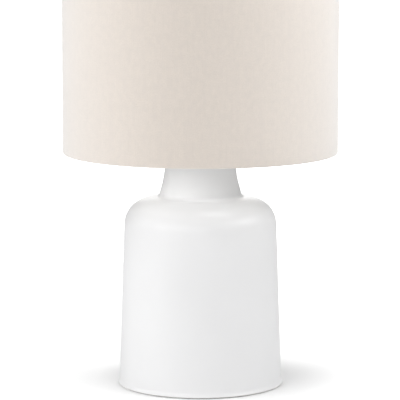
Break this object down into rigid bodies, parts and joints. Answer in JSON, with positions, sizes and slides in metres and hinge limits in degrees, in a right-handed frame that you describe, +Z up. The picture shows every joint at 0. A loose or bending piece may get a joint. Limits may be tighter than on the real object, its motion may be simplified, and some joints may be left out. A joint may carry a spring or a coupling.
{
  "type": "table lamp",
  "caption": "Table lamp with a white ceramic bottle-shaped body, a threaded-ring lampholder with push-bar switch, an LED bulb and an ivory linen drum shade.",
  "frame": {"origin": "centre of the felt pad's underside, on the surface that the lamp stands on", "axes": "+Z up along the lamp's axis, -Y the front, +Y the back with the cord inlet, +X to the right seen from the front"},
  "size_m": [0.35, 0.35, 0.503],
  "materials": {
    "felt": "matt felt",
    "glaze": "satin white glaze",
    "zinc_steel": "zinc plated",
    "nylon": "natural nylon",
    "white_enamel": "white powder coat",
    "thermoset": "moulded white thermoset",
    "switch_plastic": "moulded white",
    "porcelain": "unglazed porcelain",
    "brass": "pressed brass",
    "nickel": "nickel-plated",
    "plated_wire": "plated steel wire",
    "linen": "ivory plain weave",
    "styrene": "satin white sheet",
    "black_glass": "black glass insulator",
    "bulb_plastic": "satin white",
    "opal": "frosted opal",
    "board": "circuit board"
  },
  "bodies": {
    "base": {"felt_pad": "felt", "ceramic_body": "glaze", "bottom_plate": "zinc_steel", "pipe_washer": "zinc_steel", "pipe_lock_washer": "zinc_steel", "pipe_nut": "zinc_steel", "lamp_pipe": "zinc_steel", "cord_grommet": "nylon", "neck_cap": "white_enamel", "neck_nut": "zinc_steel", "holder_cap": "thermoset", "holder_grub_screw": "zinc_steel", "holder_skirt": "thermoset", "holder_insert": "porcelain", "screw_shell": "brass", "centre_contact": "brass", "terminal_screw_front": "brass", "terminal_screw_back": "brass"},
    "switch": {"switch_bar": "switch_plastic", "contact_bridge": "brass"},
    "shade_seat": {"support_washer": "nylon"},
    "shade": {"fitter_ring": "white_enamel", "fitter_arm_1": "white_enamel", "fitter_arm_2": "white_enamel", "fitter_arm_3": "white_enamel", "shade_fabric": "linen", "shade_liner": "styrene", "bottom_wire_ring": "plated_wire", "top_wire_ring": "plated_wire"},
    "ring_slip": {"ring_washer": "nylon"},
    "clamp_ring": {"retaining_ring": "thermoset"},
    "bulb_seat": {"bulb_tip": "nickel"},
    "bulb": {"bulb_insulator": "black_glass", "bulb_cap": "nickel", "bulb_housing": "bulb_plastic", "led_board": "board", "driver_board": "board", "bulb_globe": "opal"}
  },
  "joints": [
    {"name": "switch_push", "type": "slide", "parent": "base", "child": "switch", "axis": [1, 0, 0], "range_m": [0, 0.005]},
    {"name": "shade_swivel", "type": "hinge", "parent": "base", "child": "shade_seat", "pos_m": [0, 0, 0.3375], "axis": [0, 0, 1], "continuous": true},
    {"name": "shade_lift", "type": "slide", "parent": "shade_seat", "child": "shade", "axis": [0, 0, 1], "range_m": [0, 0.025]},
    {"name": "ring_rise", "type": "slide", "parent": "shade", "child": "ring_slip", "axis": [0, 0, 1], "range_m": [0, 0.0176]},
    {"name": "ring_turn", "type": "hinge", "parent": "ring_slip", "child": "clamp_ring", "pos_m": [0, 0, 0.3447], "axis": [0, 0, 1], "range_deg": [0, 2520]},
    {"name": "bulb_rise", "type": "slide", "parent": "base", "child": "bulb_seat", "axis": [0, 0, 1], "range_m": [0, 0.0182]},
    {"name": "bulb_turn", "type": "hinge", "parent": "bulb_seat", "child": "bulb", "pos_m": [0, 0, 0.3583], "axis": [0, 0, 1], "range_deg": [0, 1800]}
  ],
  "couplings": [
    {"joint": "ring_rise", "follows": "ring_turn", "m_per_rad": 0.00039789},
    {"joint": "bulb_rise", "follows": "bulb_turn", "m_per_rad": 0.00057757}
  ]
}
